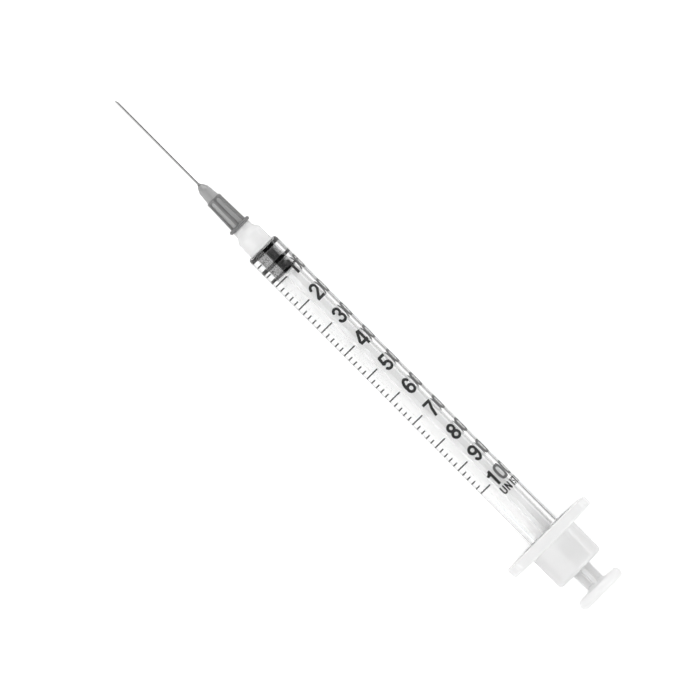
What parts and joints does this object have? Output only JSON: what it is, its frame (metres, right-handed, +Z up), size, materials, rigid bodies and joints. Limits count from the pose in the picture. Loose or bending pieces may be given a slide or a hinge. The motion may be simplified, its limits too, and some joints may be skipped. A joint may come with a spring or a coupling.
{
  "type": "graduated syringe with fixed needle",
  "caption": "Slim clear syringe with a printed unit scale, bonded needle in a ribbed hub, oval finger flange with a round collar, rubber stopper and cross-vaned plunger rod.",
  "frame": {"origin": "on the syringe's axis, at the zero line of the scale", "axes": "+X along the axis towards the thumb disc, +Z up out of the printed scale, with the finger flange's long way along Y"},
  "size_m": [0.1227, 0.0188, 0.0106],
  "materials": {
    "needle_steel": "bright drawn stainless tube",
    "adhesive": "cured clear adhesive over a dark gap",
    "grey_hub_plastic": "translucent grey, smooth moulded",
    "clear_plastic": "clear glossy tube, milky where the wall is thick",
    "black_ink": "printed ink",
    "stopper_rubber": "smooth dark rubber with a film of oil",
    "white_plastic": "semi-gloss moulded plastic"
  },
  "bodies": {
    "barrel": {"barrel": "clear_plastic", "scale_marks": "black_ink", "needle_hub": "grey_hub_plastic", "glue_bead": "adhesive", "cannula": "needle_steel"},
    "stopper": {"stopper": "stopper_rubber"},
    "rod": {"plunger_rod": "white_plastic"}
  },
  "joints": [
    {"name": "plunger_slide", "type": "slide", "parent": "barrel", "child": "stopper", "axis": [1, 0, 0], "range_m": [0, 0.06521]},
    {"name": "rod_turn", "type": "hinge", "parent": "stopper", "child": "rod", "pos_m": [0.00519, 0, 0], "axis": [1, 0, 0], "continuous": true}
  ]
}
